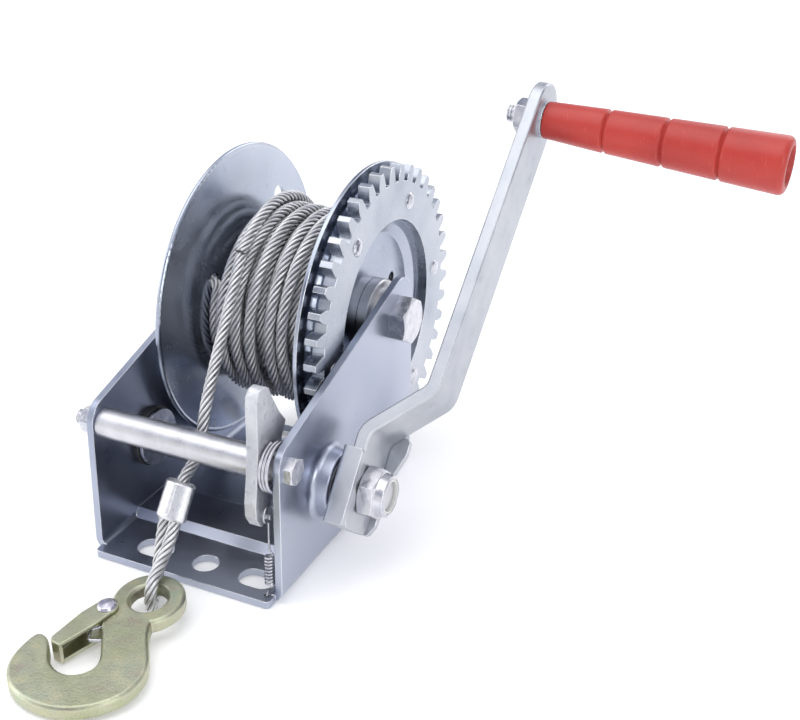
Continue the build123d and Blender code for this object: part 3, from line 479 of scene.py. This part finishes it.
framePlating = platedSheet("framePlating", {
    "tones": ((0.27, 0.30, 0.39), (0.38, 0.41, 0.50), (0.48, 0.51, 0.59)),
    "cloudTone": (0.54, 0.56, 0.64),
    "cloudy": 0.22,
    "driftSize": 0.09,
    "roughness": (0.27, 0.36),
    "scuffStretch": (1, 1, 7),
    "scuffRough": 0.05,
    "edgeRadius": 0.0006,
    "edgeHighlightAmount": 0.85,
    "waviness": 0.05,
    "grain": 0.18,
})
paint(framePlating, "frame_channel")

flangePlating = platedSheet("flangePlating", {
    "tones": ((0.27, 0.30, 0.38), (0.37, 0.41, 0.49), (0.48, 0.51, 0.58)),
    "cloudTone": (0.56, 0.59, 0.66),
    "cloudy": 0.25,
    "driftSize": 0.07,
    "roughness": (0.18, 0.28),
    "scuffStretch": (1, 1, 1),
    "scuffRough": 0.06,
    "edgeRadius": 0.0006,
    "edgeHighlightAmount": 0.9,
    "waviness": 0.04,
    "grain": 0.12,
    "rings": (drumAxle["y"], drumAxle["z"]),
})
paint(flangePlating, "left_flange", "right_flange")

gearPlating = platedSheet("gearPlating", {
    "tones": ((0.28, 0.31, 0.37), (0.38, 0.41, 0.46), (0.48, 0.50, 0.55)),
    "cloudTone": (0.58, 0.60, 0.65),
    "cloudy": 0.45,
    "driftSize": 0.05,
    "roughness": (0.22, 0.36),
    "scuffStretch": (1, 6, 1),
    "scuffRough": 0.12,
    "edgeRadius": 0.0005,
    "edgeHighlightAmount": 0.95,
    "waviness": 0.03,
    "grain": 0.30,
})
paint(gearPlating, "drum_gear", "pinion")

armPlating = platedSheet("armPlating", {
    "tones": ((0.36, 0.38, 0.42), (0.45, 0.47, 0.50), (0.54, 0.55, 0.58)),
    "cloudTone": (0.66, 0.67, 0.70),
    "cloudy": 0.55,
    "driftSize": 0.06,
    "roughness": (0.30, 0.46),
    "scuffStretch": (5, 1, 1),
    "scuffRough": 0.12,
    "edgeRadius": 0.0006,
    "edgeHighlightAmount": 0.9,
    "waviness": 0.03,
    "grain": 0.55,
})
paint(armPlating, "crank_arm", "crank_seat")
print("sheet parts plated")


# turned and drawn steel: the tube, sleeve, shaft and drum barrel

def drawnSteel(name, look):
    finish, tree, shader = startFinish(name, 1.0, look["roughness"][0])
    cloud = blotches(tree, 0.010, 4.0)
    lines = blotches(tree, 0.0012, 5.0, look["lineStretch"])
    soft, edge = edgeShine(tree, 0.0004)
    base = toned(tree, cloud, look["tones"])
    marked = mixed(tree, ranged(tree, lines, 0, 0.35), base, look["lineTone"])
    # painted highlight: near-white colour along the edges, from the edge mask
    tree.links.new(mixed(tree, edge, marked, (0.92, 0.92, 0.94)), shader.inputs["Base Color"])
    rough = worked(tree, "ADD", ranged(tree, lines, *look["roughness"]), ranged(tree, cloud, 0, 0.06))
    tree.links.new(rough, shader.inputs["Roughness"])
    raised(tree, shader, soft, [(lines, 0.00007, 0.35), (cloud, 0.0005, 0.05)])
    return finish


tubeSteel = drawnSteel("tubeSteel", {
    "tones": ((0.46, 0.46, 0.49), (0.56, 0.56, 0.58), (0.64, 0.64, 0.66)),
    "lineTone": (0.76, 0.76, 0.78),
    "lineStretch": (9, 1, 1),
    "roughness": (0.24, 0.38),
})
paint(
    tubeSteel, "tie_tube", "axle_sleeve", "crank_shaft",
    "drum_barrel", "drum_hub_left", "drum_hub_right",
)


# zinc plated bolts, nuts, rivets, washers and clips

def boltPlating(name, look):
    finish, tree, shader = startFinish(name, 1.0, look["roughness"][0])
    cloud = blotches(tree, 0.004, 4.0)
    nicks = blotches(tree, 0.0014, 6.0)
    soft, edge = edgeShine(tree, look["edgeRadius"])
    base = toned(tree, cloud, look["tones"])
    nicked = ranged(tree, nicks, 0, 0.3, 0.60, 0.72)
    worn = mixed(tree, nicked, base, look["nickTone"])
    # painted highlight: near-white colour along the edges, from the edge mask
    tree.links.new(mixed(tree, edge, worn, (0.95, 0.95, 0.96)), shader.inputs["Base Color"])
    dulled = worked(tree, "MULTIPLY", nicked, 0.2)
    rough = worked(tree, "ADD", ranged(tree, cloud, *look["roughness"]), dulled)
    tree.links.new(rough, shader.inputs["Roughness"])
    raised(tree, shader, soft, [(nicks, 0.00010, 0.12), (cloud, 0.0003, 0.06)])
    return finish


boltZinc = boltPlating("boltZinc", {
    "tones": ((0.48, 0.49, 0.54), (0.60, 0.60, 0.64), (0.70, 0.70, 0.73)),
    "nickTone": (0.44, 0.44, 0.48),
    "roughness": (0.15, 0.30),
    "edgeRadius": 0.0004,
})
paint(
    boltZinc, "tie_bolt", "tie_nut", "axle_bolt", "axle_nut", "gear_rivets", "rope_clamp", "clamp_screw",
    "shaft_washer", "shaft_clip", "crank_nut", "grip_bolt", "grip_nut", "grip_washer",
)

rivetZinc = boltPlating("rivetZinc", {
    "tones": ((0.55, 0.53, 0.62), (0.66, 0.63, 0.72), (0.75, 0.74, 0.79)),
    "nickTone": (0.40, 0.38, 0.46),
    "roughness": (0.18, 0.32),
    "edgeRadius": 0.0003,
})
paint(rivetZinc, "latch_rivet")

springWire = boltPlating("springWire", {
    "tones": ((0.40, 0.41, 0.45), (0.52, 0.52, 0.56), (0.62, 0.62, 0.65)),
    "nickTone": (0.22, 0.21, 0.21),
    "roughness": (0.24, 0.40),
    "edgeRadius": 0.0002,
})
paint(springWire, "return_spring", "spring_ends", "thrust_spring", "latch_spring")
print("tube, bolts and springs plated")


# sand-cast pawl, plated over a grainy skin

pawlSkin = {
    "tones": ((0.46, 0.47, 0.50), (0.58, 0.59, 0.62), (0.68, 0.69, 0.71)),
    "pitTone": (0.30, 0.31, 0.34),
    "roughness": (0.42, 0.60),
}


def castSkin(look):
    finish, tree, shader = startFinish("pawlCasting", 0.92, 0.5)
    grain = blotches(tree, 0.0011, 6.0)
    pits = blotches(tree, 0.0030, 5.0)
    cloud = blotches(tree, 0.012, 3.0)
    soft, edge = edgeShine(tree, 0.0008)
    base = toned(tree, cloud, look["tones"])
    pitted = mixed(tree, ranged(tree, pits, 0, 0.55, 0.56, 0.68), base, look["pitTone"])
    # painted highlight: pale colour along the pawl's edges, from the edge mask
    rubbedAndHighlit = mixed(tree, ranged(tree, edge, 0, 0.7, 0, 1), pitted, (0.85, 0.85, 0.87))
    tree.links.new(rubbedAndHighlit, shader.inputs["Base Color"])
    tree.links.new(ranged(tree, grain, *look["roughness"]), shader.inputs["Roughness"])
    raised(tree, shader, soft, [(grain, 0.00022, 0.55), (pits, 0.0004, 0.30)])
    return finish


paint(castSkin(pawlSkin), "ratchet_pawl")


# olive gold passivated hook and latch, with the drifting tints of the bath

hookGold = {
    "tones": ((0.34, 0.34, 0.21), (0.46, 0.46, 0.29), (0.54, 0.51, 0.36), (0.45, 0.49, 0.35)),
    "bloom": ((0.55, 0.44, 0.42), (0.40, 0.50, 0.39), (0.58, 0.56, 0.37)),
    # pale cream colour painted on the edges as a highlight
    "edgeHighlightTone": (0.82, 0.83, 0.66),
    "roughness": (0.30, 0.44),
}


def goldZinc(look):
    finish, tree, shader = startFinish("hookGold", 1.0, 0.3)
    drift = blotches(tree, 0.022, 5.0)
    film = blotches(tree, 0.007, 5.0)
    hammer = blotches(tree, 0.0035, 3.0)
    specks = blotches(tree, 0.0008, 4.0)
    soft, edge = edgeShine(tree, 0.0010)
    base = toned(tree, drift, look["tones"], 0.28, 0.72)
    bloom = toned(tree, film, look["bloom"])
    tinted = mixed(tree, ranged(tree, drift, 0.10, 0.50), base, bloom)
    dusty = mixed(tree, ranged(tree, specks, 0, 0.4, 0.58, 0.70), tinted, (0.20, 0.19, 0.12))
    # painted highlight: pale cream colour along the hook's edges, from the edge mask
    rubbedAndHighlit = mixed(tree, ranged(tree, edge, 0, 0.8, 0, 1), dusty, look["edgeHighlightTone"])
    tree.links.new(rubbedAndHighlit, shader.inputs["Base Color"])
    tree.links.new(ranged(tree, film, *look["roughness"]), shader.inputs["Roughness"])
    raised(tree, shader, soft, [(hammer, 0.0003, 0.20), (specks, 0.00014, 0.75), (drift, 0.002, 0.05)])
    return finish


paint(goldZinc(hookGold), "slip_hook", "hook_latch")


# pressed aluminium ferrule, with the marks its dies leave

ferruleMetal = {
    "tones": ((0.66, 0.67, 0.70), (0.78, 0.78, 0.80), (0.86, 0.86, 0.87)),
    "roughness": (0.26, 0.44),
}


def pressedAluminium(look):
    finish, tree, shader = startFinish("ferruleAluminium", 1.0, 0.3)
    drag = blotches(tree, 0.0016, 5.0, (5, 1, 1.2))
    dents = blotches(tree, 0.004, 3.0)
    soft, edge = edgeShine(tree, 0.0007)
    base = toned(tree, drag, look["tones"])
    # painted highlight: near-white colour along the edges, from the edge mask
    tree.links.new(mixed(tree, edge, base, (0.94, 0.94, 0.95)), shader.inputs["Base Color"])
    tree.links.new(ranged(tree, drag, *look["roughness"]), shader.inputs["Roughness"])
    raised(tree, shader, soft, [(drag, 0.00012, 0.4), (dents, 0.0006, 0.18)])
    return finish


paint(pressedAluminium(ferruleMetal), "ferrule")


# moulded plastics: the red grip, black bushes and the nut's pale locking ring

def mouldedPlastic(name, look):
    finish, tree, shader = startFinish(name, 0.0, look["roughness"][0])
    shader.inputs["Coat Weight"].default_value = look["coat"]
    shader.inputs["Coat Roughness"].default_value = 0.22
    drift = blotches(tree, 0.030, 3.0)
    skin = blotches(tree, 0.0010, 4.0)
    ripple = blotches(tree, 0.008, 2.0, (1, 2, 1))
    rubs = blotches(tree, 0.0040, 7.0, (4, 1, 1))
    soft, edge = edgeShine(tree, look["edgeRadius"])
    base = toned(tree, drift, look["tones"])
    rubbedAndHighlit = mixed(tree, ranged(tree, rubs, 0, look["rubbedAndHighlit"], 0.60, 0.72), base, look["rubTone"])
    # painted highlight: a lighter colour along the edges, from the edge mask
    edged = mixed(tree, ranged(tree, edge, 0, 0.45, 0, 1), rubbedAndHighlit, look["edgeHighlightTone"])
    tree.links.new(edged, shader.inputs["Base Color"])
    dulled = ranged(tree, rubs, 0, 0.10, 0.55, 0.72)
    rough = worked(tree, "ADD", ranged(tree, skin, *look["roughness"]), dulled)
    tree.links.new(rough, shader.inputs["Roughness"])
    raised(tree, shader, soft, [(skin, 0.00006, 0.45), (ripple, 0.0008, 0.06), (rubs, 0.00005, 0.2)])
    return finish


# the edge colour in each plastic look below is a painted highlight
redGrip = mouldedPlastic("redGrip", {
    "tones": ((0.36, 0.020, 0.014), (0.43, 0.028, 0.019), (0.49, 0.038, 0.026)),
    "rubTone": (0.58, 0.10, 0.07),
    "edgeHighlightTone": (0.58, 0.075, 0.05),
    "rubbedAndHighlit": 0.30,
    "roughness": (0.34, 0.48),
    "coat": 0.10,
    "edgeRadius": 0.0009,
})
paint(redGrip, "hand_grip")

blackBush = mouldedPlastic("blackBush", {
    "tones": ((0.010, 0.010, 0.012), (0.018, 0.018, 0.020), (0.028, 0.028, 0.030)),
    "rubTone": (0.08, 0.08, 0.085),
    "edgeHighlightTone": (0.07, 0.07, 0.075),
    "rubbedAndHighlit": 0.5,
    "roughness": (0.36, 0.52),
    "coat": 0.0,
    "edgeRadius": 0.0005,
})
paint(blackBush, "left_bush", "right_bush")

nutRing = mouldedPlastic("nutRing", {
    "tones": ((0.60, 0.60, 0.56), (0.70, 0.70, 0.67), (0.78, 0.78, 0.75)),
    "rubTone": (0.50, 0.49, 0.45),
    "edgeHighlightTone": (0.85, 0.85, 0.82),
    "rubbedAndHighlit": 0.4,
    "roughness": (0.38, 0.52),
    "coat": 0.0,
    "edgeRadius": 0.0003,
})
paint(nutRing, "nut_insert")
print("cast, gold, ferrule and plastic finishes done")


# steel wire rope: bright strands, painted shade in the grooves and between the single wires, which are
# just visible

ropeSteel = {
    "tones": ((0.62, 0.62, 0.63), (0.74, 0.74, 0.75), (0.84, 0.84, 0.85)),
    # dark colour painted into the grooves as shade
    "grooveShade": (0.24, 0.24, 0.25),
    "wiresPerStrand": 3.0,
    "wireSlant": 2.4,  # wires crossed in a centimetre
    "roughness": (0.38, 0.56),
}


def strandSteel(look):
    finish, tree, shader = startFinish("ropeSteel", 1.0, 0.35)
    place = addNode(tree, "ShaderNodeTexCoord")
    split = addNode(tree, "ShaderNodeSeparateXYZ")
    tree.links.new(place.outputs["UV"], split.inputs["Vector"])
    across, along = split.outputs["X"], split.outputs["Y"]
    # each strand's edge is the groove: 0 at the crown, 1 in the groove, and this mask paints shade into
    # the grooves
    crown = worked(tree, "PINGPONG", across, 0.5)
    groove = ranged(tree, crown, 1, 0, 0.02, 0.26)
    perStrand = worked(tree, "MULTIPLY", across, look["wiresPerStrand"])
    slanted = worked(tree, "ADD", perStrand, worked(tree, "MULTIPLY", along, look["wireSlant"]))
    wires = worked(tree, "PINGPONG", slanted, 0.5)
    wireGap = ranged(tree, wires, 1, 0, 0.0, 0.16)
    cloud = blotches(tree, 0.006, 4.0)
    base = toned(tree, cloud, look["tones"])
    # painted shade: darker lines between the single wires
    lined = mixed(tree, worked(tree, "MULTIPLY", wireGap, 0.45), base, (0.30, 0.30, 0.32))
    # painted shade: dark colour in the grooves between strands
    tree.links.new(mixed(tree, groove, lined, look["grooveShade"]), shader.inputs["Base Color"])
    dulled = worked(tree, "MULTIPLY", groove, 0.25)
    rough = worked(tree, "ADD", ranged(tree, cloud, *look["roughness"]), dulled)
    tree.links.new(rough, shader.inputs["Roughness"])
    raised(tree, shader, None, [(wires, 0.00022, 0.7), (cloud, 0.0002, 0.1)])
    return finish


ropeFinish = strandSteel(ropeSteel)
for piece in (windingRope, tailRope):
    piece.data.materials.append(ropeFinish)
print("rope finished")


# pale floor, soft lights and a graded room of air for the plating to mirror

studio = {
    "floorTone": ((0.86, 0.86, 0.87), (0.90, 0.90, 0.90)),
    "floorSize": 12.0,
    "glow": 0.22,  # lifts the far floor to the same white as the near
    "air": 1.0,
    "lamps": (
        ("overheadSoftbox", (-0.35, -0.25, 1.25), (0.0, 0.0, 0.08), 1.3, 6.5),
        ("leftSoftbox", (-1.25, -0.65, 0.55), (0.0, 0.0, 0.08), 0.8, 4.5),
        ("rightSoftbox", (1.15, -0.75, 0.75), (0.05, 0.0, 0.10), 0.6, 4.5),
        ("rearStrip", (0.35, 1.20, 0.85), (0.0, 0.0, 0.10), 0.9, 4.5),
    ),
}


def layFloor(look):
    half = look["floorSize"] / 2
    low = float(cadBox[0][2]) - 0.0004
    steps = 12
    spots, faces = [], []
    for j in range(steps + 1):
        for i in range(steps + 1):
            spots.append((-half + i * 2 * half / steps, -half + j * 2 * half / steps, low))
    for j in range(steps):
        for i in range(steps):
            a = j * (steps + 1) + i
            faces.append((a, a + 1, a + steps + 2, a + steps + 1))
    mesh = bpy.data.meshes.new("bench_floor")
    mesh.from_pydata(spots, [], faces)
    floor = bpy.data.objects.new("bench_floor", mesh)
    bpy.context.collection.objects.link(floor)
    finish, tree, shader = startFinish("paleBench", 0.0, 0.6)
    tree.links.new(toned(tree, blotches(tree, 0.4, 2.0), look["floorTone"]), shader.inputs["Base Color"])
    tree.links.new(ranged(tree, blotches(tree, 0.02, 3.0), 0.5, 0.65), shader.inputs["Roughness"])
    shader.inputs["Emission Color"].default_value = (1, 1, 1, 1)
    shader.inputs["Emission Strength"].default_value = look["glow"]
    mesh.materials.append(finish)


def hangLamps(look):
    for name, place, target, size, power in look["lamps"]:
        lamp = bpy.data.lights.new(name, "AREA")
        lamp.size = size
        lamp.energy = power
        holder = bpy.data.objects.new(name, lamp)
        bpy.context.collection.objects.link(holder)
        way = Vector(target) - Vector(place)
        turn = way.to_track_quat("-Z", "Y").to_matrix().to_4x4()
        holder.matrix_world = Matrix.Translation(place) @ turn


def fillAir(look):
    air = bpy.data.worlds.new("studioAir")
    air.use_nodes = True
    tree = air.node_tree
    place = addNode(tree, "ShaderNodeTexCoord")
    split = addNode(tree, "ShaderNodeSeparateXYZ")
    tree.links.new(place.outputs["Generated"], split.inputs["Vector"])
    ramp = addNode(tree, "ShaderNodeValToRGB")
    bands = (
        (0.0, (1.0, 1.0, 1.0)), (0.42, (1.0, 1.0, 1.0)), (0.52, (0.82, 0.85, 0.92)),
        (0.63, (0.22, 0.24, 0.34)), (0.76, (0.50, 0.53, 0.62)), (1.0, (1.4, 1.4, 1.4)),
    )
    marks = ramp.color_ramp.elements
    while len(marks) < len(bands):
        marks.new(0.5)
    for mark, (height, tone) in zip(marks, bands):
        mark.position = height
        mark.color = (*tone, 1)
    tree.links.new(ranged(tree, split.outputs["Z"], 0, 1, -0.35, 1), ramp.inputs["Fac"])
    tree.links.new(ramp.outputs["Color"], tree.nodes["Background"].inputs["Color"])
    tree.nodes["Background"].inputs["Strength"].default_value = look["air"]
    bpy.context.scene.world = air


layFloor(studio)
hangLamps(studio)
fillAir(studio)
bpy.context.scene.view_settings.view_transform = "Standard"
print("floor, lamps and air ready")
